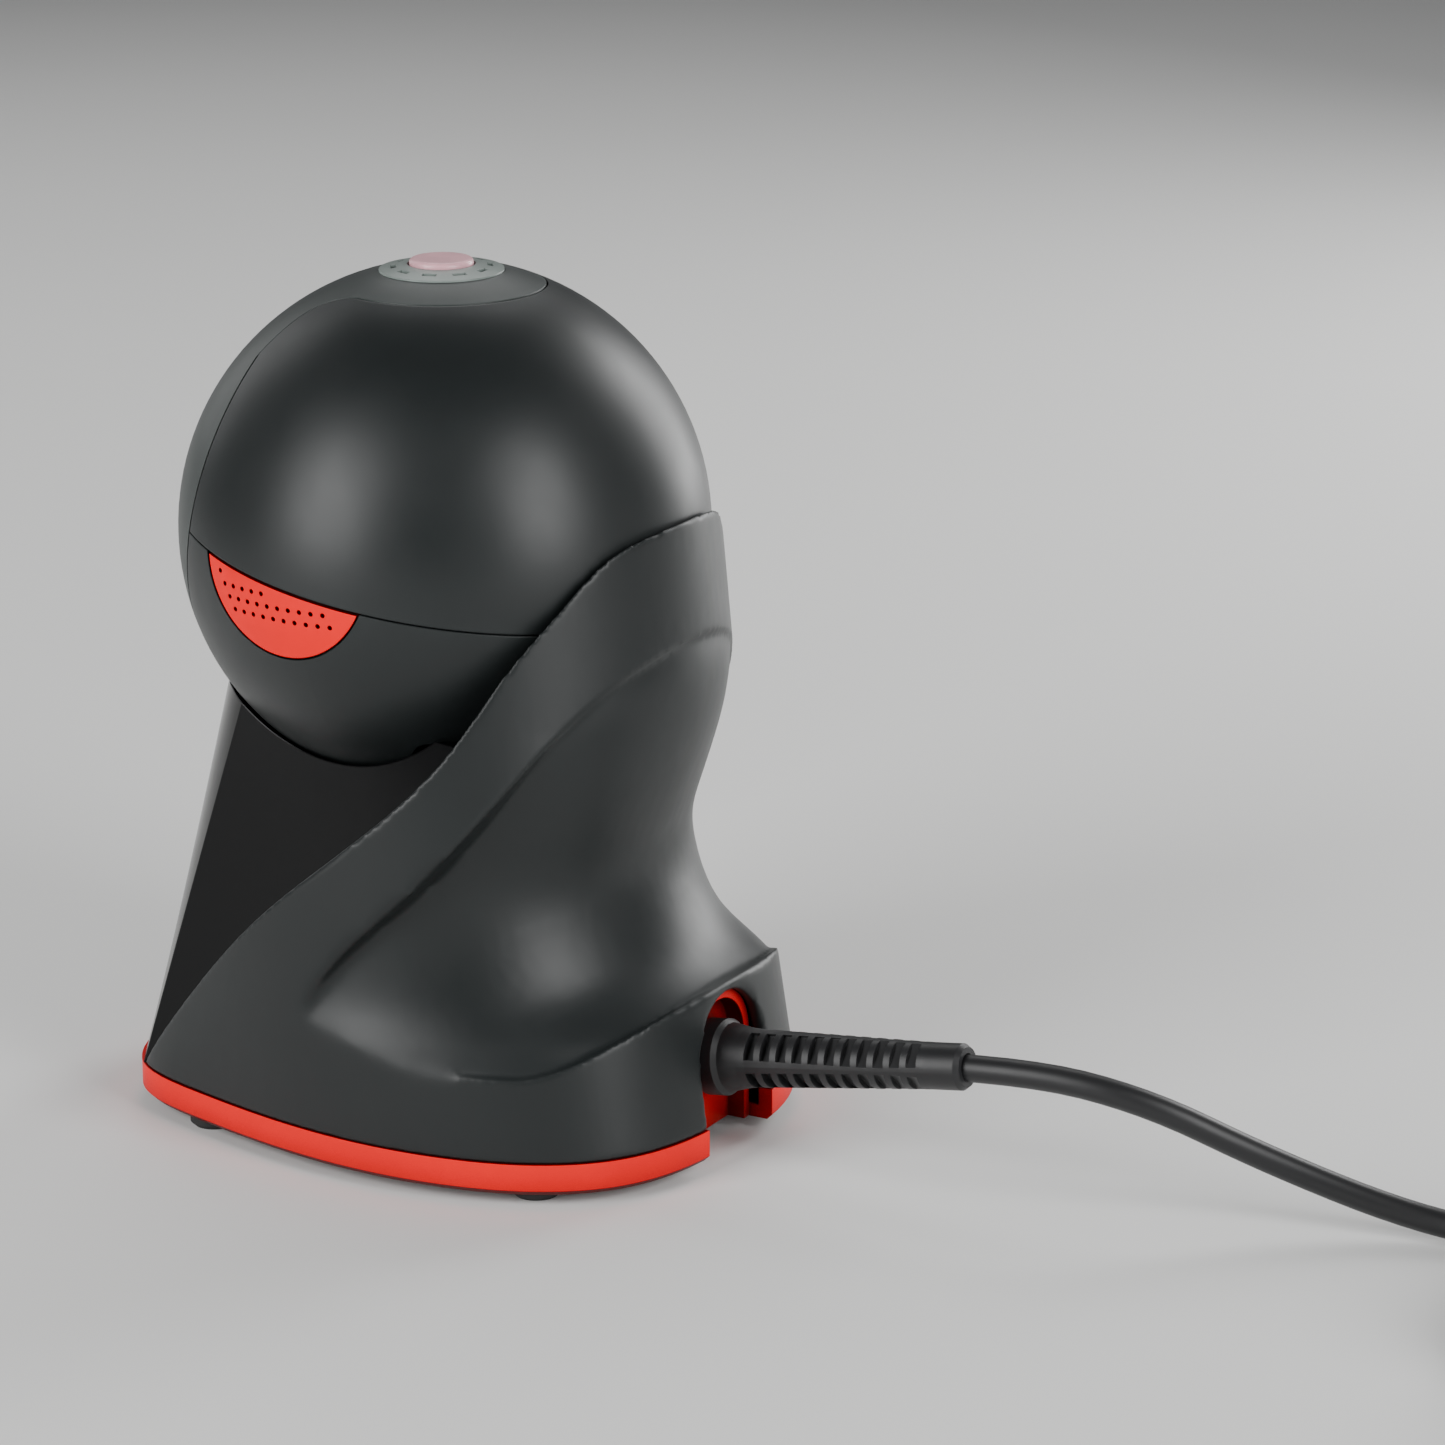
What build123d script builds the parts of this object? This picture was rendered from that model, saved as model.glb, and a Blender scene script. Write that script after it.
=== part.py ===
from build123d import *
import math
import os

os.makedirs("parts", exist_ok=True)

# Presentation barcode scanner: a ball head that tilts in a swept stand.
# Millimetres, +Z up, front of the scanner faces -Y, the cord leaves at +Y.
# Origin: middle of the stand on the counter.

# ---- driving dimensions ----
BALL_R = 43.0            # outer radius of the head
SHELL_T = 2.4            # wall of the head shells
AXIS_Y = -2.0            # tilt axis, front to back
AXIS_Z = 98.0            # tilt axis above the counter
SEAM_SLOPE = 10.1        # degrees, joint line of the head rises to the front
SEAM_DROP = 1.63         # joint line below the ball centre
GROOVE = 0.3             # visible groove between two shells of the head
CAP_R = 16.66            # round cap on top of the head
RING_R = 10.0            # indicator ring in the cap
BUTTON_R = 5.15
BUTTON_TOP = 43.8        # above the ball centre
FACE_UP = 14.1           # degrees, scan face looks up
BEZEL_D = 26.57          # bezel joint plane from the ball centre
FACE_D = 38.0            # flat scan face from the ball centre
WINDOW_R = 17.5
GRILLE_R = 15.8          # red side grilles
BOWL_GAP = 0.6           # air between head and bowl
BOWL_T = 2.4
WALL = 2.6               # wall of the stand
COVER_H = 5.3            # red bottom cover
FOOT_H = 2.0
BASE_TOP = 104.5         # rear top of the collar
COLLAR_R = 46.6          # widest ring of the collar
COLLAR_Z = 76.0
COLLAR_LEAN = 1.9 / 22   # the collar narrows upwards
CORD_D = 4.4
BOOT_TILT = 8.3          # degrees, strain relief rises to the rear

SHELL_Z = FOOT_H + COVER_H
SPHERE_GAP_R = BALL_R + BOWL_GAP
BOWL_OUT_R = SPHERE_GAP_R + BOWL_T
HEAD_IN_R = BALL_R - SHELL_T
STAND = Location((0, AXIS_Y, 0))
HEAD = Location((0, AXIS_Y, AXIS_Z))

# Right half of the foot outline, front to rear, seen from the tilt axis.
FOOT = [
    (0, -51.2), (16, -49), (29.9, -42), (36.6, -27), (41, -8), (42.7, 10),
    (41.4, 24.6), (37.6, 37), (28.8, 48.4), (15.8, 54), (0, 55.2),
]
# Upper edge of the side walls, seen from the side (y, z).
SWOOP = [
    (-42, 7), (-24.2, 27.4), (-8.1, 43), (10.1, 58), (25.3, 74.2), (31.1, 84.9),
    (37.9, 96.6), (41.8, 102.6), (47, BASE_TOP),
]
# Edge of the recessed waist on the side walls (y, z).
SCOOP = [(46, 85.4), (41.2, 79.9), (31.6, 66), (17.8, 48.8), (2.9, 33.4), (-0.4, 26.5), (4.4, 21.5)]
LEDGE = [(32.5, 21.2), (40.4, 22.3), (47.6, 26.2), (53.8, 29.7)]
# Waist: half width, half depth and height of its oval sections.
WAIST = [
    (46, 66, 18), (43.6, 56.7, 25.3), (42.7, 50.8, 28.7), (42.1, 46.2, 32), (41.7, 42.2, 37.3),
    (41.7, 39.6, 44), (42.1, 40.4, 54.2), (43.0, 42.6, 60.5), (44.5, 44.7, 67.5),
    (45.5, 45.8, 73.5), (45.7, 45.9, 79), (44.9, 44.9, 86), (44.5, 44.5, 92),
]
FEET = [(31, 35), (-31, 35), (31, -27), (-31, -27)]
SCREWS = [(34.5, 20), (-34.5, 20), (20, -39), (-20, -39)]


def save(shape, node, where=STAND):
    shape = shape.moved(where)
    shape.label = node
    export_step(shape, "parts/" + node + ".step")
    box = shape.bounding_box()
    print(node, [round(v, 1) for v in (*box.min, *box.max)], "volume", round(shape.volume))


def side_prism(points, closing, half=70):
    """Side-view outline: a spline through points, closed by straight lines, through the whole width."""
    edges = [Spline(*points)]
    chain = [points[-1]] + closing + [points[0]]
    for a, b in zip(chain, chain[1:]):
        edges.append(Line(a, b))
    face = Plane.YZ * make_face(edges)
    return extrude(face, amount=half, both=True)


def ring_outline(inset, blend, collar=COLLAR_R):
    """Foot outline blended towards the collar circle."""
    right = FOOT
    left = [(-x, y) for x, y in FOOT[-2:0:-1]]
    points = []
    for x, y in right + left:
        angle = math.atan2(y, x)
        radius = math.hypot(x, y) * (1 - blend) + collar * blend - inset
        points.append((radius * math.cos(angle), radius * math.sin(angle)))
    return make_face([Spline(*points, periodic=True)])


def swept_wall(inset):
    """Solid inside the outer side wall, before the edge of the collar is cut."""
    rise = BASE_TOP - COLLAR_Z
    low = Pos(0, 0, SHELL_Z) * ring_outline(inset, 0)
    middle = Pos(0, 0, COLLAR_Z) * ring_outline(inset, 1)
    top = Pos(0, 0, BASE_TOP) * ring_outline(inset, 1, COLLAR_R - COLLAR_LEAN * rise)
    wall = loft([low, middle, top], ruled=True)
    return wall - (scoop_prism(inset) - waist(inset))


def waist(inset):
    return loft([Pos(0, 0, z) * Ellipse(a - inset, b - inset) for a, b, z in WAIST])


def moved_out(points, amount):
    """Outline points moved away from the waist, square to the outline."""
    moved = []
    for k, (y, z) in enumerate(points):
        before = points[max(k - 1, 0)]
        after = points[min(k + 1, len(points) - 1)]
        length = math.dist(before, after)
        across = (after[1] - before[1]) / length
        down = (after[0] - before[0]) / length
        moved.append((y + amount * across, z - amount * down))
    return moved


def scoop_prism(grow):
    """Region of the waist; it grows by the wall so that the wall stays whole at the step."""
    scoop = moved_out(SCOOP, grow)
    ledge = moved_out(LEDGE, grow)
    edges = [Spline(*scoop), Line(scoop[-1], ledge[0]), Spline(*ledge)]
    chain = [ledge[-1], (70, 31 - grow), (70, 90 + grow), scoop[0]]
    for a, b in zip(chain[:-1], chain[1:]):
        edges.append(Line(a, b))
    return extrude(Plane.YZ * make_face(edges), amount=70, both=True)


def behind_swoop(drop=0):
    points = [(y + drop * 0.7, z - drop * 0.7) for y, z in SWOOP]
    return side_prism(points, [(75, BASE_TOP - drop * 0.7), (75, -5), (-52, -5)])


def ball(radius):
    return Pos(0, 0, AXIS_Z) * Sphere(radius)


def upright(radius, z0, z1, x=0, y=0):
    return Pos(x, y, z0) * Cylinder(radius, z1 - z0, align=(Align.CENTER, Align.CENTER, Align.MIN))


def block(x0, x1, y0, y1, z0, z1):
    return Pos((x0 + x1) / 2, (y0 + y1) / 2, (z0 + z1) / 2) * Box(x1 - x0, y1 - y0, z1 - z0)


def arch(half_width, top, y0, y1):
    """Cable doorway: straight sides and a round top."""
    door = block(-half_width, half_width, y0, y1, 0, top - half_width)
    barrel = Pos(0, (y0 + y1) / 2, top - half_width) * Rot(90, 0, 0) * Cylinder(half_width, y1 - y0)
    return door + barrel


def chin_section(blend, inset, back):
    def mix(low, high):
        return (low[0] * (1 - blend) + high[0] * blend, low[1] * (1 - blend) + high[1] * blend)
    corner = mix((29.9, -42), (25.6, -22.8))
    corner = (corner[0] - inset * 0.8, corner[1] + inset)
    nose = mix((0, -51.2), (0, -36.6))
    nose = (0, nose[1] + inset)
    side = mix((37.6, -4), (31.8, 22))
    side = (side[0] - inset, side[1] + back)
    bend = ((corner[0] + side[0]) / 2 - 1.2, (corner[1] + side[1]) / 2)
    edges = [
        ThreePointArc((-corner[0], corner[1]), nose, corner),
        ThreePointArc(corner, bend, side),
        Line(side, (-side[0], side[1])),
        ThreePointArc((-side[0], side[1]), (-bend[0], bend[1]), (-corner[0], corner[1])),
    ]
    return make_face(edges)


def chin_block(inset=0, back=0):
    low = Pos(0, 0, SHELL_Z) * chin_section(0, inset, back)
    high = Pos(0, 0, 72) * chin_section(1, inset, back)
    return loft([low, high], ruled=True)


def base_shell():
    outer = swept_wall(0) & behind_swoop()
    inner = swept_wall(WALL) - ball(BOWL_OUT_R)
    shell = outer - inner
    gutter = (swept_wall(WALL / 2) & behind_swoop(7)) - behind_swoop(9.5)
    shell += gutter - chin_block()
    bowl = (ball(BOWL_OUT_R) & block(-21, 21, -14, 40, 50, 72))
    shell += bowl
    for x, y in SCREWS[:2]:
        shell += upright(4.2, SHELL_Z, 20, x, y)
        outward = math.copysign(40.6, x)
        shell += block(min(x, outward), max(x, outward), y - 1.2, y + 1.2, SHELL_Z, 20)
    shell -= ball(SPHERE_GAP_R)
    for x, y in SCREWS[:2]:
        shell -= upright(1.3, 0, 17, x, y)
    shell -= upright(2.4, 45, 60)
    shell -= arch(10.3, 27, 36, 60)
    return shell


def front_cover(shell):
    chin = chin_block() - chin_block(2.4, 30) - ball(SPHERE_GAP_R)
    chin -= ball(BOWL_OUT_R + 0.3) & block(-21.4, 21.4, -14.4, 60, 40, 80)
    for x, y in SCREWS[2:]:
        post = upright(3.6, SHELL_Z, 18, x, y) + block(x - 1.2, x + 1.2, y - 6, y, SHELL_Z, 18)
        chin += post & chin_block()
        chin -= upright(1.3, 0, 15, x, y)
    return chin - shell


def bottom_cover():
    outline = ring_outline(0, 0)
    plate = Pos(0, 0, FOOT_H) * extrude(outline, amount=COVER_H)
    low_edges = plate.edges().filter_by(lambda e: e.center().Z < FOOT_H + 0.1)
    plate = chamfer(low_edges, 0.9)
    plate -= Pos(0, 0, FOOT_H + 2.2) * extrude(ring_outline(2.5, 0), amount=10)
    plate -= arch(10.3, 27, 36, 60)
    liner = arch(10.3, 27, 44, 50.5) - arch(8.7, 25.4, 47.4, 60) - boot_bore()
    plate += liner & block(-11, 11, 40, 60, FOOT_H, 30)
    for x, y in FEET:
        plate -= upright(4.3, 0, FOOT_H + 0.8, x, y)
    for x, y in SCREWS:
        plate += upright(3.6, FOOT_H, SHELL_Z, x, y)
        plate -= upright(1.7, 0, 10, x, y)
        plate -= upright(3.2, 0, FOOT_H + 2.4, x, y)
    return plate


def rubber_feet():
    feet = [upright(4.1, 0, FOOT_H + 0.8, x, y) for x, y in FEET]
    feet = [chamfer(foot.edges().group_by(Axis.Z)[0], 0.6) for foot in feet]
    return Compound(feet)


def screw(radius, length, head_r, head_h):
    """Pan-head screw, point up, underside of the head at z = 0."""
    body = upright(radius, 0, length) + upright(head_r, -head_h, 0)
    body = chamfer(body.edges().group_by(Axis.Z)[0], head_h * 0.3)
    cross = Box(head_r * 1.1, head_r * 0.28, head_h) + Box(head_r * 0.28, head_r * 1.1, head_h)
    return body - Pos(0, 0, -head_h) * cross


def base_screws():
    return Compound([Pos(x, y, FOOT_H + 2.4) * screw(1.25, 10, 2.9, 1.8) for x, y in SCREWS])


def ballast_plate():
    plate = Pos(0, 0, FOOT_H + 2.3) * extrude(ring_outline(6.5, 0), amount=3.0)
    plate = plate & block(-60, 60, -32, 30, 0, 20)
    for x, y in SCREWS[:2]:
        plate -= upright(5, 0, 20, x, y)
    for x in (-14, 14):
        plate -= upright(1.8, 0, 20, x, 0)
    for x in (-16.5, 16.5):
        plate -= upright(3.2, 0, 20, x, 14)
    return plate


def ballast_screws():
    return Compound([
        Pos(x, 0, FOOT_H + 5.3) * Rot(180, 0, 0) * screw(1.5, 2.6, 3, 1.6) for x in (-14, 14)
    ])


def friction_ring():
    """Thin low-friction ring stuck in the bowl, around the bolt."""
    film = ball(SPHERE_GAP_R - 0.02) - ball(BALL_R + 0.28)
    return film & (upright(13, 50, 70) - upright(8, 49, 71))


def pressure_shoe():
    cap = ball(HEAD_IN_R - 0.3) - ball(HEAD_IN_R - 3.0)
    cap = cap & upright(9.5, 50, 70)
    return cap - upright(2.2, 50, 70)


def tension_bolt():
    top = AXIS_Z - HEAD_IN_R + 3.0
    bolt = upright(2.0, 34, top + 0.4) + upright(3.4, top + 0.3, top + 3.0)
    return chamfer(bolt.edges().group_by(Axis.Z)[-1], 0.4)


def tension_spring():
    low = 43.2
    high = AXIS_Z - BOWL_OUT_R - 0.1
    wire = 0.5
    path = Helix(pitch=1.9, height=high - low - 2 * wire, radius=3.7)
    start = path @ 0
    section = Plane(origin=start, z_dir=path % 0) * Circle(wire)
    return Pos(0, 0, low + wire) * sweep(section, path=path)


def tension_washer():
    return upright(5.4, 42.0, 43.1) - upright(2.2, 40, 46)


def tension_nut():
    hexagon = extrude(RegularPolygon(4.0, 6), amount=3.4)
    return Pos(0, 0, 38.5) * hexagon - upright(2.0, 30, 50)


def interface_board():
    board = block(-20, 20, 10, 36, 8.9, 10.3)
    for x in (-16.5, 16.5):
        board -= upright(1.6, 5, 15, x, 14)
    return board


def interface_chips():
    chips = block(-15, -7, 13, 19, 10.3, 11.5) + block(4, 12, 12, 17, 10.3, 12)
    chips += block(-4, 2, 12, 15, 10.3, 14)
    return chips


def boot_bore():
    return (boot_frame() * upright(5.05, -5, 20)).moved(Location((0, -AXIS_Y, 0)))


def modular_plug():
    plug = block(-5.8, 5.8, 24.4, 40.5, 12.3, 20.4)
    return plug + Pos(0, 42.6, 15.6) * Rot(90, 0, 0) * Cylinder(2.4, 4.6)


def modular_jack():
    jack = block(-7.6, 7.6, 20.5, 36, 10.3, 23.6)
    jack -= block(-5.9, 5.9, 24, 40, 12.2, 20.6)
    jack -= block(-2.6, 2.6, 24, 40, 20, 22.2)
    return jack


def board_standoffs():
    posts = [upright(2.8, FOOT_H + 2.2, 8.9, x, 14) for x in (-16.5, 16.5)]
    return Compound([post + upright(1.5, 8.9, 10.9, x, 14) for post, x in zip(posts, (-16.5, 16.5))])


# ---- head, measured from the ball centre ----


def tilt(shape, angle):
    return Rot(angle, 0, 0) * shape


def above_seam(shift):
    slab = Pos(0, 0, 50 - SEAM_DROP + shift) * Box(120, 120, 100)
    return tilt(slab, -SEAM_SLOPE)


def face_tool(shape):
    """Shape drawn looking along +Z, turned so that +Z points out of the scan face."""
    return Rot(90 - FACE_UP, 0, 0) * shape


def keyhole(gap):
    """Region of the lighter front shell: bezel, neck and top cap."""
    cap = upright(CAP_R + gap, 10, 60)
    bezel = face_tool(upright(60, BEZEL_D - gap, 100))
    g = gap
    right = [(16.0 + g, -4.6), (15.6 + g, -9.9), (17 + g, -13.9), (19.7 + g, -16.8), (23.6 + g, -20.2)]
    left = [(-x, y) for x, y in right]
    edges = [
        Spline(*right),
        Line(right[-1], (23.6 + g, -30)),
        Line((23.6 + g, -30), (-23.6 - g, -30)),
        Line((-23.6 - g, -30), left[-1]),
        Spline(*left[::-1]),
        Line(left[0], right[0]),
    ]
    neck = Pos(0, 0, 12) * extrude(make_face(edges), amount=50)
    return cap + bezel + neck


def hollow_ball():
    return Sphere(BALL_R) - Sphere(HEAD_IN_R)


def head_upper_shell():
    shell = (hollow_ball() & above_seam(GROOVE / 2)) - keyhole(GROOVE)
    for x in (-27, 27):
        boss = upright(3.2, -10, 34, x, 14) & Sphere(BALL_R - 1) & above_seam(GROOVE / 2)
        shell += boss
        shell -= upright(1.2, -12, 8, x, 14)
    return shell


def head_lower_shell():
    shell = hollow_ball() - above_seam(-GROOVE / 2) - keyhole(GROOVE)
    for side in (-1, 1):
        shell -= grille_blank(side, 0.35, BALL_R + 1, BALL_R - 1.7)
    for x in (-27, 27):
        boss = (upright(3.4, -40, 10, x, 14) & Sphere(BALL_R - 0.8)) - above_seam(-GROOVE / 2)
        shell += boss
        shell -= upright(1.5, -50, 10, x, 14)
        shell -= upright(3.1, -50, -20, x, 14)
    width = 6.4
    reach = 15.0
    middle = -10.0
    for end in (-reach, reach):
        shell -= tilt(upright(width / 2, -50, -30), middle + end)
    ends = [polar(60, -90 + middle - reach), polar(60, -90 + middle + reach)]
    wedge_face = Polyline((0, 0), *ends, (0, 0))
    wedge = extrude(Plane.YZ * make_face(wedge_face), amount=width / 2, both=True)
    shell -= wedge - Sphere(30)
    return shell


def polar(radius, degrees):
    return (radius * math.cos(math.radians(degrees)), radius * math.sin(math.radians(degrees)))


def grille_blank(side, gap, outer, inner):
    disc = Pos(side * 30, -4, 3.2) * Rot(0, 90, 0) * Cylinder(GRILLE_R + gap, 30)
    blank = (disc & Sphere(outer)) - Sphere(inner)
    return blank - above_seam(-GROOVE / 2 - 0.3 + gap)


def side_grille(side):
    plate = grille_blank(side, 0, BALL_R - 0.15, BALL_R - 1.6)
    pins = []
    for row in range(-5, 6):
        for column in range(-6, 7):
            y = -4 + column * 2.1 + (row % 2) * 1.05
            z = 3.2 + row * 1.9
            inside = math.hypot(y + 4, z - 3.2) < GRILLE_R - 2.4
            below = z < -0.178 * y - SEAM_DROP - 1.8
            if inside and below:
                pins.append(Pos(side * 41, y, z) * Rot(0, 90, 0) * Cylinder(0.38, 8))
    return plate - pins


def front_shell():
    flat = face_tool(upright(60, FACE_D, 100))
    plate = face_tool(upright(24, 34.6, FACE_D)) & Sphere(BALL_R - 0.5)
    shell = ((hollow_ball() + plate) & keyhole(0)) - flat
    shell -= face_tool(upright(WINDOW_R + 0.3, 35.9, 60))
    shell -= face_tool(upright(14.8, 20, 60))
    for x in (-12.6, 12.6):
        shell += upright(2.2, 32.6, 39.5, x, 0)
        shell -= upright(0.9, 30, 37, x, 0)
    for x, y in quarter_points(12.4):
        shell += face_tool(upright(2.2, 29.8, 35.5, x, y))
        shell -= face_tool(upright(0.9, 29, 34.5, x, y))
    shell -= upright(RING_R + 0.05, 41.0, 60)
    shell -= upright(8.4, 35, 50)
    rim = face_tool(upright(WINDOW_R + 1.2, FACE_D - 0.4, 60)) - face_tool(upright(WINDOW_R + 0.3, 30, 70))
    return shell - rim


def quarter_points(reach):
    return [(sx * reach, sy * reach) for sx in (-1, 1) for sy in (-1, 1)]


def window_gasket():
    return face_tool(upright(17.4, 35.9, 36.2) - upright(15.2, 35, 37))


def scan_window():
    pane = upright(WINDOW_R, 36.2, 37.8)
    return face_tool(chamfer(pane.edges().group_by(Axis.Z)[-1], 0.3))


def indicator_ring():
    ring = upright(RING_R, 41.05, 44) & Sphere(BALL_R + 0.25)
    ring -= upright(BUTTON_R + 0.3, 40, 46)
    for k in range(10):
        slot = Pos(7.7, 0, 43.6) * Box(0.9, 2.3, 3.2)
        ring -= Rot(0, 0, 18 + 36 * k) * slot
    return ring


def button():
    cap = upright(BUTTON_R, 39.9, BUTTON_TOP)
    cap = fillet(cap.edges().group_by(Axis.Z)[-1], 0.7)
    cap += upright(6.6, 39.9, 40.7)
    return cap + upright(1.9, 36.0, 40)


def button_board():
    board = Pos(0, 0, 31.8) * Box(32, 14, 1.6)
    for x in (-12.6, 12.6):
        board -= upright(1.1, 30, 34, x, 0)
    return board


def button_board_screws():
    return Compound([Pos(x, 0, 31.0) * screw(0.85, 5, 1.9, 1.2) for x in (-12.6, 12.6)])


def tact_switch():
    return Pos(0, 0, 33.7) * Box(6, 6, 2.2) + upright(1.7, 34.7, 35.0)


def led_board():
    board = upright(18.4, 28.6, 29.8) - upright(6.6, 20, 40)
    for x, y in quarter_points(12.4):
        board -= upright(1.1, 20, 40, x, y)
    return face_tool(board)


def engine_screws():
    return Compound([
        face_tool(Pos(x, y, 28.6) * screw(0.85, 5, 1.9, 1.2)) for x, y in quarter_points(12.4)
    ])


def led_lamps():
    lamps = []
    for k in range(8):
        spot = Rot(0, 0, 45 * k) * Pos(11.6, 0, 29.8)
        body = block(-1.6, 1.6, -1.4, 1.4, 0, 1.1) + upright(1.1, 1.1, 2.0)
        lamps.append(face_tool(spot * body))
    return Compound(lamps)


def light_baffle():
    cone = Pos(0, 0, 32.4) * Cone(7.4, 10.6, 5.2)
    cone -= Pos(0, 0, 32.4) * Cone(6.4, 9.6, 5.2)
    return face_tool(cone)


def lens_barrel():
    barrel = upright(5.6, 25.8, 33.2)
    barrel -= upright(4.3, 31.4, 40)
    for z in (28.0, 29.2):
        barrel -= upright(7, z, z + 0.5) - upright(5.2, z, z + 0.5)
    return face_tool(barrel)


def lens_glass():
    glass = upright(4.25, 30.2, 31.3) + (Pos(0, 0, 22.8) * Sphere(9.6) & upright(4.25, 31.2, 34))
    return face_tool(glass & upright(4.25, 31.4, 40))


def camera_holder():
    holder = block(-8, 8, -8, 8, 19.0, 25.8)
    holder += upright(6.6, 25.8, 27.6)
    holder -= upright(5.65, 25.8, 40)
    holder -= block(-6, 6, -6, 6, 18, 24)
    return face_tool(holder)


def sensor_board():
    return face_tool(block(-14, 14, -14, 14, 17.6, 19.0))


def sensor_posts():
    posts = [face_tool(upright(1.6, 19.0, 28.6, x, y)) for x, y in quarter_points(9.9)]
    return Compound(posts)


def image_sensor():
    return face_tool(block(-4.2, 4.2, -3.4, 3.4, 19.0, 20.1))


def main_board():
    board = block(-26, 26, 9.0, 10.6, -20, 22)
    for x in (-22, 22):
        for z in (-16, 18):
            board -= Pos(x, 9.8, z) * Rot(90, 0, 0) * Cylinder(1.3, 6)
    return board


def main_chips():
    chips = block(-7, 7, 10.6, 12.2, -14, 0) + block(10, 20, 10.6, 11.8, -12, -4)
    chips += block(-20, -11, 10.6, 12.0, -10, 2) + block(-18, -6, 10.6, 13.6, 8, 14)
    return chips


def beeper():
    can = Pos(8, 13.6, 12) * Rot(90, 0, 0) * (Cylinder(6, 6) - Pos(0, 0, -2.9) * Cylinder(1.3, 2))
    return can


def board_frame():
    """Moulded frame that ties the two inner boards to the upper shell."""
    rails = block(-25, -19, 3.0, 9.0, -19, 21) + block(19, 25, 3.0, 9.0, -19, 21)
    rails += block(-25, 25, 3.0, 6.5, 18, 23)
    return rails


def head_screws():
    return Compound([Pos(x, 14, -20.0) * screw(1.2, 22, 2.6, 1.8) for x in (-27, 27)])


# ---- cord, measured from the origin of the part ----

BOOT_ROOT = (0, 43.5, 15.0)
BOOT_LENGTH = 50.6
ROWS = 11
PITCH = 2.9


def boot_frame():
    return Location(BOOT_ROOT) * Rot(-90 + BOOT_TILT, 0, 0)


def cable_boot():
    """Strain relief: flange, cone and a slotted sleeve, drawn along +Z."""
    profile = Polyline(
        (0, 0), (5.0, 0), (5.0, 4.0), (6.25, 4.0), (6.25, 7.2), (5.6, 8.0), (4.95, 11.0), (4.75, 12.5),
        (3.75, 44.6), (3.75, 49.8), (3.2, BOOT_LENGTH), (0, BOOT_LENGTH), (0, 0),
    )
    boot = revolve(Plane.XZ * make_face(profile), Axis.Z)
    boot -= upright(CORD_D / 2, -1, 60)
    slots = []
    for row in range(ROWS):
        slot = Pos(4.6, 0, 13.4 + row * PITCH) * Box(2.9, 4.9, 1.75)
        slots += [Rot(0, 0, 45 + 90 * quarter) * slot for quarter in range(4)]
    return boot_frame() * (boot - slots)


def on_boot(distance):
    rise = math.radians(BOOT_TILT)
    return (0, BOOT_ROOT[1] + distance * math.cos(rise), BOOT_ROOT[2] + distance * math.sin(rise))


FLOOR = CORD_D / 2 + 0.05
COIL_R = 26.3            # middle of the turns
COIL_TURNS = 3           # turns across and turns high
COIL_LIFT = 0.8          # thickness of the tie below the turns
COIL_AT = (2.4, 218.9)
ROUTE = [
    on_boot(40.0), on_boot(60.0), (-2.5, 123.0, 21.5), (-13.5, 139.0, 11.0), (-20.0, 160.5, 3.4),
    (-22.2, 178.5, FLOOR), (-24.0, 196.0, FLOOR), (-27.6, 212.3, FLOOR + COIL_LIFT),
]
TAIL = [(-2.9, 249.1, FLOOR + COIL_LIFT + CORD_D), (10.6, 251.0, 5.9), (24.1, 250.2, 4.1)]
PLUG_TURN = -3.4         # degrees, way the plug points


def corner_radii(points):
    radii = []
    for a, b, c in zip(points, points[1:], points[2:]):
        first = [q - p for p, q in zip(a, b)]
        second = [q - p for p, q in zip(b, c)]
        la = math.dist(a, b)
        lb = math.dist(b, c)
        cosine = sum(p * q for p, q in zip(first, second)) / la / lb
        turn = math.acos(max(-1, min(1, cosine)))
        radii.append(0.45 * min(la, lb) / math.tan(turn / 2))
        place = [round(v, 1) for v in b]
        print("corner", place, "turn", round(math.degrees(turn)), "radius", round(radii[-1]))
    return radii


def tube(points):
    path = FilletPolyline(*points, radius=corner_radii(points))
    section = Plane(origin=path @ 0, z_dir=path % 0) * Circle(CORD_D / 2)
    solid = sweep(section, path=path)
    expected = path.length * math.pi * CORD_D ** 2 / 4
    print("tube length", round(path.length, 1), "volume", round(solid.volume), "expected", round(expected))
    return solid


def cable_coil():
    size = COIL_TURNS * CORD_D
    section = Pos(COIL_R, size / 2 + COIL_LIFT + 0.05) * RectangleRounded(size, size, CORD_D / 2 - 0.05)
    print("coil length", round(COIL_TURNS ** 2 * 2 * math.pi * COIL_R))
    return Pos(*COIL_AT, 0) * revolve(Plane.XZ * section, Axis.Z)


def coil_tie():
    size = COIL_TURNS * CORD_D
    middle = size / 2 + COIL_LIFT + 0.05
    strap = Box(size + 2.4, 6, size + 1.6) - Box(size + 0.8, 7, size + 0.1)
    strap = fillet(strap.edges().filter_by(Axis.Y).group_by(SortBy.LENGTH)[-1], 0.4)
    return Pos(*COIL_AT, middle) * Rot(0, 0, 30) * Pos(COIL_R, 0, 0) * strap


def plug_place():
    return Location(TAIL[-1]) * Rot(0, 0, PLUG_TURN)


def plug_grip():
    grip = Pos(15, 0, 0) * Box(18, 14.5, 8.0)
    grip = fillet(grip.edges().filter_by(Axis.X), 1.6)
    neck = Pos(3, 0, 0) * Rot(0, 90, 0) * Cone(3.0, 3.8, 6.2)
    grip += neck
    grip -= Pos(1.5, 0, 0) * Rot(0, 90, 0) * Cylinder(CORD_D / 2, 3.2)
    for x in (10.5, 13, 15.5, 18):
        for side in (-1, 1):
            grip -= Pos(x, side * 7.25, 0) * Box(1.1, 0.9, 5)
    return plug_place() * grip


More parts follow.
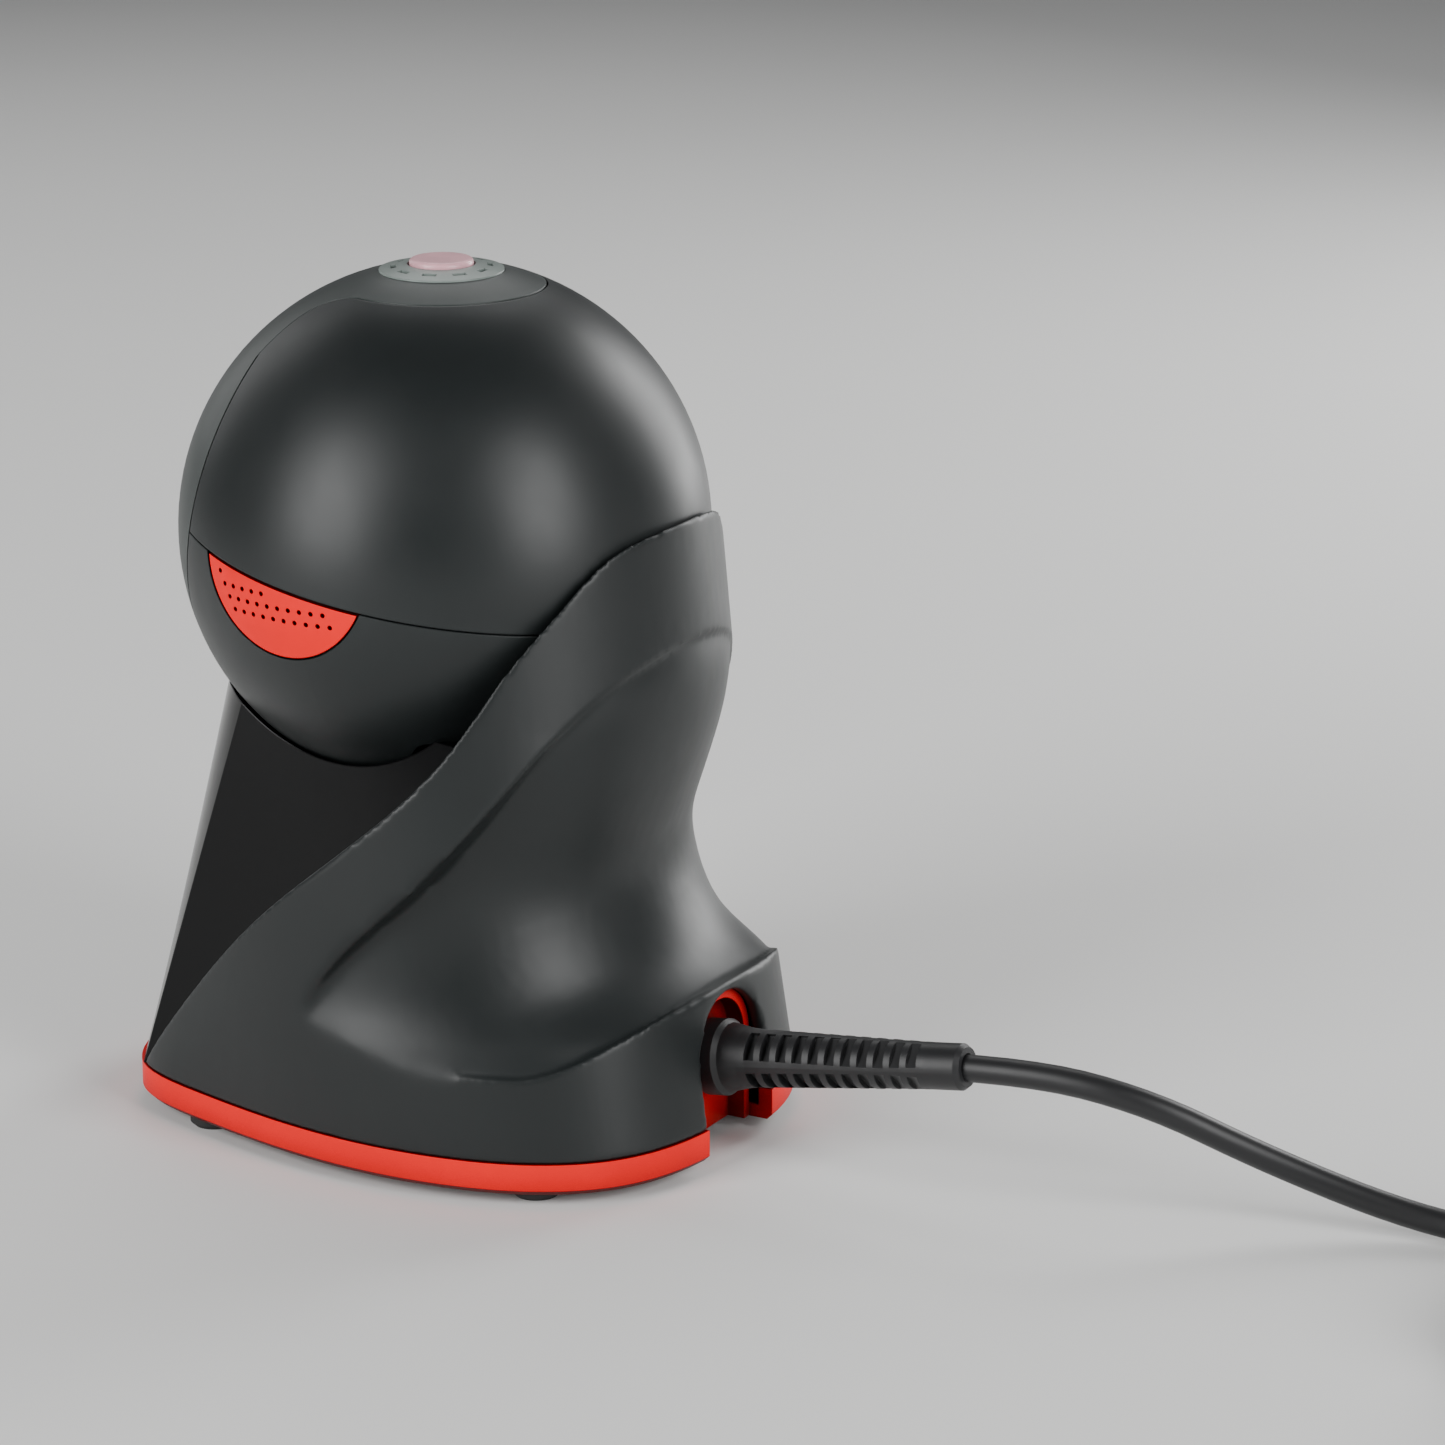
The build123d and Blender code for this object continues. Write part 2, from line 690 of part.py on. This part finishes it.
def plug_shell():
    metal = Pos(30, 0, 0) * (Box(12, 12.0, 4.5) - Pos(0.6, 0, 0) * Box(12, 11.2, 3.8))
    for side in (-1, 1):
        metal -= Pos(30, side * 2.8, 2) * Box(2.4, 2.4, 2)
    return plug_place() * metal


def plug_tongue():
    return plug_place() * Pos(29.8, 0, -0.9) * Box(10.2, 11.0, 1.8)


if __name__ == "__main__":
    shell = base_shell()
    save(shell, "base_shell")
    save(front_cover(shell), "front_cover")
    save(bottom_cover(), "bottom_cover")
    save(rubber_feet(), "rubber_feet")
    save(base_screws(), "base_screws")
    save(ballast_plate(), "ballast_plate")
    save(ballast_screws(), "ballast_screws")
    save(friction_ring(), "friction_ring")
    save(pressure_shoe(), "pressure_shoe")
    save(tension_bolt(), "tension_bolt")
    save(tension_spring(), "tension_spring")
    save(tension_washer(), "tension_washer")
    save(tension_nut(), "tension_nut")
    save(interface_board(), "interface_board")
    save(interface_chips(), "interface_chips")
    save(modular_jack(), "modular_jack")
    save(modular_plug(), "modular_plug")
    save(board_standoffs(), "board_standoffs")
    save(head_upper_shell(), "head_upper_shell", HEAD)
    save(head_lower_shell(), "head_lower_shell", HEAD)
    save(side_grille(1), "side_grille_right", HEAD)
    save(side_grille(-1), "side_grille_left", HEAD)
    save(front_shell(), "front_shell", HEAD)
    save(window_gasket(), "window_gasket", HEAD)
    save(scan_window(), "scan_window", HEAD)
    save(indicator_ring(), "indicator_ring", HEAD)
    save(button(), "button", HEAD)
    save(button_board(), "button_board", HEAD)
    save(button_board_screws(), "button_board_screws", HEAD)
    save(tact_switch(), "tact_switch", HEAD)
    save(led_board(), "led_board", HEAD)
    save(engine_screws(), "engine_screws", HEAD)
    save(led_lamps(), "led_lamps", HEAD)
    save(light_baffle(), "light_baffle", HEAD)
    save(lens_barrel(), "lens_barrel", HEAD)
    save(lens_glass(), "lens_glass", HEAD)
    save(camera_holder(), "camera_holder", HEAD)
    save(sensor_board(), "sensor_board", HEAD)
    save(sensor_posts(), "sensor_posts", HEAD)
    save(image_sensor(), "image_sensor", HEAD)
    save(main_board(), "main_board", HEAD)
    save(main_chips(), "main_chips", HEAD)
    save(beeper(), "beeper", HEAD)
    save(board_frame(), "board_frame", HEAD)
    save(head_screws(), "head_screws", HEAD)
    save(cable_boot(), "cable_boot", Location())
    save(tube(ROUTE), "cable", Location())
    save(cable_coil(), "cable_coil", Location())
    save(coil_tie(), "coil_tie", Location())
    save(tube(TAIL), "cable_tail", Location())
    save(plug_grip(), "plug_grip", Location())
    save(plug_shell(), "plug_shell", Location())
    save(plug_tongue(), "plug_tongue", Location())
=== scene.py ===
import math

import bpy
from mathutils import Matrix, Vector

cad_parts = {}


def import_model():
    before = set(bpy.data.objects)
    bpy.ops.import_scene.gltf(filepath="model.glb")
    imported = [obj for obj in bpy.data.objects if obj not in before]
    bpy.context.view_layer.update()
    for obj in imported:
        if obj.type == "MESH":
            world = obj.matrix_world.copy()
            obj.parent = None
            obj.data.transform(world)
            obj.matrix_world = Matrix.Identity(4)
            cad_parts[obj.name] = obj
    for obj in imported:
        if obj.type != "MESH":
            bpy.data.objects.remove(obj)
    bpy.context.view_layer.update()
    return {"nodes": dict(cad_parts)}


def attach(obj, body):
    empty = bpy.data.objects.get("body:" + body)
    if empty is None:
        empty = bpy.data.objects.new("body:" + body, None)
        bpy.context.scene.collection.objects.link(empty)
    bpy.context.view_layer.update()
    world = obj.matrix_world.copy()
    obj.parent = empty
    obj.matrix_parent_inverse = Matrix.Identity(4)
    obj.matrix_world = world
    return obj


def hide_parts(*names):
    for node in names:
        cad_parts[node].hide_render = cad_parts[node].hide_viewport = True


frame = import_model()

MM = 0.001
NODES = frame["nodes"]


# ---- shader helpers ----

NOISE_SPAN = (0.3, 0.7)        # where nearly all of a noise's values lie
WORN_SPAN = (0.52, 0.62)       # pointiness, from a flat surface to a sharp edge
PAINTED_SHADE_SPAN = (0.42, 0.78)     # openness for the painted shade, from a deep hollow in full painted shade to an open surface without it
PAINTED_SHADE_REACH = 12 * MM         # how far a point looks around for walls whose shade is painted onto it
DRAWN_STRETCH = 18.0           # how many times finer drawn metal's lines are along Z


class Shader:
    """A material under construction: a Principled shader and the nodes that feed it."""

    def __init__(self, name):
        self.material = bpy.data.materials.new(name)
        self.material.use_nodes = True
        self.tree = self.material.node_tree
        self.main = self.tree.nodes["Principled BSDF"]
        self.place = self.tree.nodes.new("ShaderNodeTexCoord").outputs["Object"]

    def node(self, kind, **settings):
        made = self.tree.nodes.new(kind)
        for key, value in settings.items():
            setattr(made, key, value)
        return made

    def link(self, out, into):
        self.tree.links.new(out, into)

    def noise(self, scale, detail=4.0, roughness=0.55):
        made = self.node("ShaderNodeTexNoise")
        self.link(self.place, made.inputs["Vector"])
        made.inputs["Scale"].default_value = scale
        made.inputs["Detail"].default_value = detail
        made.inputs["Roughness"].default_value = roughness
        return made.outputs["Fac"]

    def spread(self, value, low, high, to_low, to_high):
        made = self.node("ShaderNodeMapRange")
        self.link(value, made.inputs["Value"])
        made.inputs["From Min"].default_value = low
        made.inputs["From Max"].default_value = high
        made.inputs["To Min"].default_value = to_low
        made.inputs["To Max"].default_value = to_high
        return made.outputs["Result"]

    def from_noise(self, value, to_low, to_high):
        """A noise's values stretched to run from to_low to to_high."""
        return self.spread(value, *NOISE_SPAN, to_low, to_high)

    def mix(self, factor, first, second):
        made = self.node("ShaderNodeMix", data_type="RGBA")
        self.link(factor, made.inputs["Factor"])
        made.inputs["A"].default_value = (*first, 1)
        made.inputs["B"].default_value = (*second, 1)
        return made

    def edge_wear(self):
        """1 on outer edges, 0 on flat surfaces."""
        geometry = self.node("ShaderNodeNewGeometry")
        return self.spread(geometry.outputs["Pointiness"], *WORN_SPAN, 0, 1)

    def paint_hollow_shade(self, colour, shade_colour):
        """Painted shade in deep hollows, darker where walls close around a point, whatever side they are
        seen from.
        """
        occlusion = self.node("ShaderNodeAmbientOcclusion", samples=8)
        occlusion.inputs["Distance"].default_value = PAINTED_SHADE_REACH
        made = self.node("ShaderNodeMix", data_type="RGBA")
        self.link(self.spread(occlusion.outputs["AO"], *PAINTED_SHADE_SPAN, 0, 1), made.inputs["Factor"])
        made.inputs["A"].default_value = (*shade_colour, 1)
        self.link(colour.outputs["Result"], made.inputs["B"])
        return made

    def bump(self, height, strength, depth):
        """Relief from a height value, depth mm deep."""
        made = self.node("ShaderNodeBump")
        made.inputs["Strength"].default_value = strength
        made.inputs["Distance"].default_value = depth * MM
        self.link(height, made.inputs["Height"])
        self.link(made.outputs["Normal"], self.main.inputs["Normal"])
        return made

    def set(self, **values):
        for key, value in values.items():
            self.main.inputs[key.replace("_", " ")].default_value = value
        return self


def tint(color, factor):
    return tuple(min(1, c * factor) for c in color)


def moulded(name, color, rough, grain=1.0, edge=0.35, soften=0.35, shine=0.42, painted_shade=None):
    """Moulded plastic: fine spark texture, slow colour and gloss variation, rubbed edges, and, if asked
    for, painted shade in hollows.
    """
    s = Shader(name)
    slow = s.noise(28, 5)
    base = s.mix(s.from_noise(slow, 0, 1), tint(color, 0.92), tint(color, 1.08))
    rubbed = s.node("ShaderNodeMix", data_type="RGBA")
    s.link(s.edge_wear(), rubbed.inputs["Factor"])
    s.link(base.outputs["Result"], rubbed.inputs["A"])
    rubbed.inputs["B"].default_value = (*tint(color, 1 + edge), 1)
    shown = rubbed
    # painted shade in hollows, darkening the colour down to the given fraction of itself
    if painted_shade:
        shown = s.paint_hollow_shade(rubbed, tint(color, painted_shade))
    s.link(shown.outputs["Result"], s.main.inputs["Base Color"])
    patches = s.from_noise(s.noise(70, 6), rough - 0.03, rough + 0.04)
    s.link(patches, s.main.inputs["Roughness"])
    round_edges = s.node("ShaderNodeBevel", samples=4)
    round_edges.inputs["Radius"].default_value = soften * MM
    fine = s.bump(s.noise(2600, 3, 0.7), 0.12 * grain, 0.04)
    s.link(round_edges.outputs["Normal"], fine.inputs["Normal"])
    s.set(Specular_IOR_Level=shine)
    return s.material


def metal(name, color, rough):
    """Plated or brushed metal with fine drawn lines and dull patches."""
    s = Shader(name)
    mapping = s.node("ShaderNodeMapping")
    mapping.inputs["Scale"].default_value = (1, 1, DRAWN_STRETCH)
    s.link(s.place, mapping.inputs["Vector"])
    lines = s.node("ShaderNodeTexNoise")
    lines.inputs["Scale"].default_value = 400
    lines.inputs["Detail"].default_value = 4
    s.link(mapping.outputs["Vector"], lines.inputs["Vector"])
    base = s.mix(s.from_noise(s.noise(90, 5), 0, 1), tint(color, 0.8), tint(color, 1.1))
    s.link(base.outputs["Result"], s.main.inputs["Base Color"])
    polish = s.from_noise(lines.outputs["Fac"], rough - 0.06, rough + 0.08)
    s.link(polish, s.main.inputs["Roughness"])
    s.bump(lines.outputs["Fac"], 0.1, 0.03)
    s.set(Metallic=1.0)
    return s.material


def clear(name, color, rough, alpha, coat=0.4):
    """Tinted clear plastic or coated glass with faint haze and specks."""
    s = Shader(name)
    haze = s.spread(s.noise(60, 5), 0.35, 0.7, rough, rough + 0.06)
    s.link(haze, s.main.inputs["Roughness"])
    base = s.mix(s.spread(s.noise(300, 3), 0.4, 0.6, 0, 1), tint(color, 0.95), tint(color, 1.05))
    s.link(base.outputs["Result"], s.main.inputs["Base Color"])
    s.bump(s.noise(900, 2), 0.05, 0.03)
    s.set(Transmission_Weight=alpha, IOR=1.5, Coat_Weight=coat, Coat_Roughness=0.03)
    return s.material


def circuit(name):
    """Solder mask with faint copper tracks below it."""
    s = Shader(name)
    cells = s.node("ShaderNodeTexVoronoi", feature="DISTANCE_TO_EDGE")
    cells.inputs["Scale"].default_value = 420
    s.link(s.place, cells.inputs["Vector"])
    tracks = s.spread(cells.outputs["Distance"], 0.03, 0.09, 1, 0)
    base = s.mix(tracks, (0.010, 0.09, 0.045), (0.03, 0.19, 0.08))
    s.link(base.outputs["Result"], s.main.inputs["Base Color"])
    s.link(s.from_noise(s.noise(200, 4), 0.28, 0.42), s.main.inputs["Roughness"])
    s.bump(tracks, 0.2, 0.04)
    return s.material


CHARCOAL = (0.0095, 0.0120, 0.0122)
GREY = (0.0300, 0.0365, 0.0350)
BLACK = (0.0012, 0.0013, 0.0016)
RED = (0.88, 0.0070, 0.0085)

LOOKS = {
    "charcoal": moulded("charcoal_shell", CHARCOAL, 0.41),
    "grey": moulded("grey_shell", GREY, 0.42),
    "black": moulded("black_cover", BLACK, 0.17, grain=0.4, shine=0.22),
    # the red parts get painted shade in their hollows, down to a tenth of their colour
    "red": moulded("red_plastic", RED, 0.40, grain=0.8, edge=0.06, shine=0.1, painted_shade=0.10),
    "rubber": moulded("foot_rubber", (0.014, 0.014, 0.014), 0.72, grain=2.2, edge=0.5),
    "cord": moulded("cord_sheath", (0.0120, 0.0122, 0.0130), 0.44, grain=1.4, edge=0.5, soften=0.15),
    "inner": moulded("inner_plastic", (0.03, 0.03, 0.031), 0.55, grain=1.5),
    "chips": moulded("chip_epoxy", (0.018, 0.018, 0.02), 0.5, grain=1.6, edge=0.3, soften=0.1),
    "button": clear("button_lens", (0.82, 0.44, 0.49), 0.32, 0.12, coat=0.15),
    "ring": moulded("indicator_ring", (0.19, 0.225, 0.21), 0.35, grain=0.6, edge=0.1, soften=0.15),
    "window": clear("scan_window", (0.25, 0.035, 0.04), 0.12, 0.55, coat=0.0),
    "lens": clear("lens_glass", (0.4, 0.45, 0.6), 0.03, 0.7),
    "jack": clear("clear_plug", (0.7, 0.74, 0.74), 0.12, 0.6),
    "lamp": clear("lamp_lens", (0.85, 0.85, 0.78), 0.15, 0.35),
    "steel": metal("plated_steel", (0.52, 0.52, 0.50), 0.32),
    "nickel": metal("nickel_plate", (0.62, 0.61, 0.58), 0.22),
    "barrel": metal("anodised_black", (0.035, 0.035, 0.038), 0.38),
    "board": circuit("circuit_board"),
}
DRESS = {
    "charcoal": ["base_shell", "head_upper_shell", "head_lower_shell"],
    "grey": ["front_shell"],
    "black": ["front_cover"],
    "red": ["bottom_cover", "side_grille_right", "side_grille_left"],
    "rubber": ["rubber_feet", "window_gasket", "friction_ring"],
    "cord": ["cable_boot", "cable", "cable_coil", "cable_tail", "coil_tie", "plug_grip"],
    "inner": ["modular_jack", "light_baffle", "camera_holder", "board_frame", "board_standoffs",
              "pressure_shoe", "plug_tongue"],
    "chips": ["interface_chips", "main_chips", "image_sensor", "tact_switch", "beeper"],
    "button": ["button"],
    "ring": ["indicator_ring"],
    "window": ["scan_window"],
    "lens": ["lens_glass"],
    "jack": ["modular_plug"],
    "lamp": ["led_lamps"],
    "steel": ["base_screws", "ballast_plate", "ballast_screws", "tension_bolt", "tension_spring",
              "tension_washer", "tension_nut", "button_board_screws", "engine_screws", "head_screws",
              "sensor_posts"],
    "nickel": ["plug_shell"],
    "barrel": ["lens_barrel"],
    "board": ["interface_board", "button_board", "led_board", "sensor_board", "main_board"],
}


def wear(thing, look):
    slots = thing.material_slots
    if not slots:
        thing.data.materials.append(LOOKS[look])
    for slot in slots:
        slot.material = LOOKS[look]


for look, names in DRESS.items():
    for node_name in names:
        wear(NODES[node_name], look)


# ---- stand shell with soft edges ----

VOXEL = 0.38 * MM
SHELL_FACES = 180_000      # triangles kept once the shell is smooth
SMOOTH_FACTOR = 0.5
RIM_PASSES = 14            # smoothing passes over the whole shell
FADE_PASSES = 80           # and over the spots in FADES
AXIS_Y = -2.0              # tilt axis of the ball, front to back, in mm
MIDDLE = (18, 30)          # half width and rearmost y, in mm, of the middle part, which FADES leaves alone
FADE_GAIN = 1.4            # above 1, so that the whole core of a spot is fully softened
# Lower edge of the waist where it fades out, and its rear shoulder: y from the tilt axis, z, and reach of
# the softening, in mm.
FADES = [
    (22, 54, 4), (16, 47, 5), (9, 40, 6), (3, 33, 7), (0, 27, 7), (4, 22, 6), (13, 20, 6), (22, 20, 5),
    (56, 30, 7),
]


def fade_weight(place):
    """How much the shell is smoothed at a point: most at the fading edge, little elsewhere."""
    half_width, rearmost = MIDDLE
    if abs(place.x) < half_width * MM and place.y < rearmost * MM:
        return 0.0
    best = 0.0
    for y, z, reach in FADES:
        apart = math.hypot(place.y / MM - AXIS_Y - y, place.z / MM - z) / reach
        best = max(best, 1 - apart * apart)
    return min(1.0, FADE_GAIN * best)


def stand_shell():
    """The moulded stand: the same walls, with rounded rims and a waist that fades into the sides."""
    thing = bpy.data.objects.new("stand_shell", NODES["base_shell"].data.copy())
    bpy.context.collection.objects.link(thing)
    remesh = thing.modifiers.new("remesh", "REMESH")
    remesh.mode = "VOXEL"
    remesh.voxel_size = VOXEL
    depsgraph = bpy.context.evaluated_depsgraph_get()
    thing.data = bpy.data.meshes.new_from_object(thing.evaluated_get(depsgraph))
    thing.modifiers.clear()
    fade = thing.vertex_groups.new(name="fade")
    for vertex in thing.data.vertices:
        weight = fade_weight(vertex.co)
        if weight > 0:
            fade.add([vertex.index], weight, "REPLACE")
    everywhere = thing.modifiers.new("rims", "SMOOTH")
    everywhere.factor = SMOOTH_FACTOR
    everywhere.iterations = RIM_PASSES
    crease = thing.modifiers.new("crease", "SMOOTH")
    crease.factor = SMOOTH_FACTOR
    crease.iterations = FADE_PASSES
    crease.vertex_group = "fade"
    triangles = sum(len(polygon.vertices) - 2 for polygon in thing.data.polygons)
    thin_out = thing.modifiers.new("thin_out", "DECIMATE")
    thin_out.ratio = min(1.0, SHELL_FACES / triangles)
    depsgraph = bpy.context.evaluated_depsgraph_get()
    thing.data = bpy.data.meshes.new_from_object(thing.evaluated_get(depsgraph))
    thing.modifiers.clear()
    for polygon in thing.data.polygons:
        polygon.use_smooth = True
    thing.data.materials.clear()
    thing.data.materials.append(LOOKS["charcoal"])
    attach(thing, "base")
    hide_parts("base_shell")


stand_shell()


# ---- cord ----

# All in mm.
CORD_D = 4.4
FLOOR = CORD_D / 2 + 0.05      # height of the cord's middle where it lies on the floor
LIFT = 0.8                     # how much higher the coil's lowest layer lies
COIL_R = 26.3                  # middle row of the coil
COIL_AT = (2.4, 218.9)
BOOT_START = (43.5, 15.0)      # y and z of the boot's own origin
BOOT_TILT = math.radians(8.3)


def on_boot(distance):
    """Point so far along the boot's middle line."""
    y, z = BOOT_START
    return (0, y + distance * math.cos(BOOT_TILT), z + distance * math.sin(BOOT_TILT))


ROUTE = [
    on_boot(40.0), on_boot(60.0), (-2.5, 123.0, 21.5), (-13.5, 139.0, 11.0), (-20.0, 160.5, 3.4),
    (-22.2, 178.5, FLOOR), (-24.0, 196.0, FLOOR),
]
TAIL = [(10.6, 251.0, 5.9), (24.1, 250.2, 4.1)]
# Places of the turns in the coil (steps across, layers up), in winding order.
TURNS = [(1, 0), (0, 0), (-1, 0), (-1, 1), (0, 1), (-1, 2), (0, 2), (1, 2), (1, 1)]
ENTRY = math.radians(192.4)    # bearing, from the coil's middle, where the cord comes in
LEAVE = math.radians(100.0)    # and where it goes out
STEPS = 16                     # points in a turn
STEP_OVER = 4                  # of them, spent moving from one place to the next


def coil_points():
    """Turn after turn; the last one ends where the cord leaves the coil."""
    points = []
    last = round(STEPS * (ENTRY - LEAVE) / math.tau)
    for k in range(STEPS * (len(TURNS) - 1) + last + 1):
        turn, step = divmod(k, STEPS)
        here = TURNS[turn]
        before = TURNS[max(0, turn - 1)]
        change = min(1.0, step / STEP_OVER)
        across = before[0] + (here[0] - before[0]) * change
        up = before[1] + (here[1] - before[1]) * change
        angle = ENTRY - math.tau * k / STEPS
        radius = COIL_R + across * CORD_D
        x = COIL_AT[0] + radius * math.cos(angle)
        y = COIL_AT[1] + radius * math.sin(angle)
        points.append((x, y, FLOOR + LIFT + up * CORD_D))
    return points


def cord():
    curve = bpy.data.curves.new("cord", "CURVE")
    curve.dimensions = "3D"
    points = ROUTE + coil_points() + TAIL
    spline = curve.splines.new("NURBS")
    spline.points.add(len(points) - 1)
    for point, place in zip(spline.points, points):
        point.co = (*(Vector(place) * MM), 1)
    spline.order_u = 3
    spline.use_endpoint_u = True
    spline.resolution_u = 6
    curve.bevel_depth = CORD_D / 2 * MM
    curve.bevel_resolution = 6
    curve.use_fill_caps = True
    curve.materials.append(LOOKS["cord"])
    thing = bpy.data.objects.new("cord", curve)
    bpy.context.collection.objects.link(thing)
    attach(thing, "base")
    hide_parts("cable", "cable_coil", "cable_tail")


cord()


# ---- camera, floor and lights ----

# Places in metres.
LENS = 123.38                      # focal length in mm
CAMERA_AT = (0.6525, 0.4182, 0.2999)
LOOKED_AT = (-0.01389, 0.04149, 0.06737)
CAMERA_TURN = 29.6                 # about the camera's bearing, in degrees from +X
HEART = Vector((0, 0, 0.09))       # what the lights aim at
SKY = (0.9, 0.92, 0.95, 1)
SKY_STRENGTH = 0.09
FLOOR_HALF = 6.0


def aim(thing, target):
    thing.rotation_euler = (Vector(target) - thing.location).to_track_quat("-Z", "Y").to_euler()


def camera():
    data = bpy.data.cameras.new("camera")
    data.lens = LENS
    data.sensor_width = 36
    data.clip_start = 0.01
    thing = bpy.data.objects.new("camera", data)
    bpy.context.collection.objects.link(thing)
    thing.location = CAMERA_AT
    aim(thing, LOOKED_AT)
    bpy.context.scene.camera = thing


def softbox(name, place, target, width, height, power):
    data = bpy.data.lights.new(name, "AREA")
    data.shape = "RECTANGLE"
    data.size = width
    data.size_y = height
    data.energy = power
    thing = bpy.data.objects.new(name, data)
    bpy.context.collection.objects.link(thing)
    thing.location = place
    aim(thing, target)


def floor():
    mesh = bpy.data.meshes.new("floor")
    half = FLOOR_HALF
    corners = [(-half, -half, 0), (half, -half, 0), (half, half, 0), (-half, half, 0)]
    mesh.from_pydata(corners, [], [(0, 1, 2, 3)])
    thing = bpy.data.objects.new("floor", mesh)
    bpy.context.collection.objects.link(thing)
    s = Shader("floor_paper")
    base = s.mix(s.from_noise(s.noise(3, 3), 0, 1), (0.78, 0.78, 0.77), (0.80, 0.80, 0.79))
    s.link(base.outputs["Result"], s.main.inputs["Base Color"])
    s.set(Roughness=0.85)
    mesh.materials.append(s.material)


def world():
    made = bpy.data.worlds.new("studio")
    made.use_nodes = True
    back = made.node_tree.nodes["Background"]
    back.inputs["Color"].default_value = SKY
    back.inputs["Strength"].default_value = SKY_STRENGTH
    bpy.context.scene.world = made


def strip(name, turn, away, height, width, tall, power):
    """Upright soft light, turned so many degrees from the camera about the part."""
    angle = math.radians(CAMERA_TURN + turn)
    place = HEART + Vector((away * math.cos(angle), away * math.sin(angle), height))
    softbox(name, place, HEART, width, tall, power)


camera()
floor()
world()
strip("left_band", -50, 0.95, 0.36, 0.50, 0.80, 11.0)
strip("right_band", 46, 0.95, 0.36, 0.40, 0.80, 9.0)
strip("front_fill", -138, 1.00, 0.40, 0.50, 0.80, 1.6)
strip("rear_rim", 134, 0.85, 0.22, 0.30, 0.70, 6.0)
softbox("top", (-0.75, -0.40, 0.9), HEART, 0.6, 0.6, 2.5)
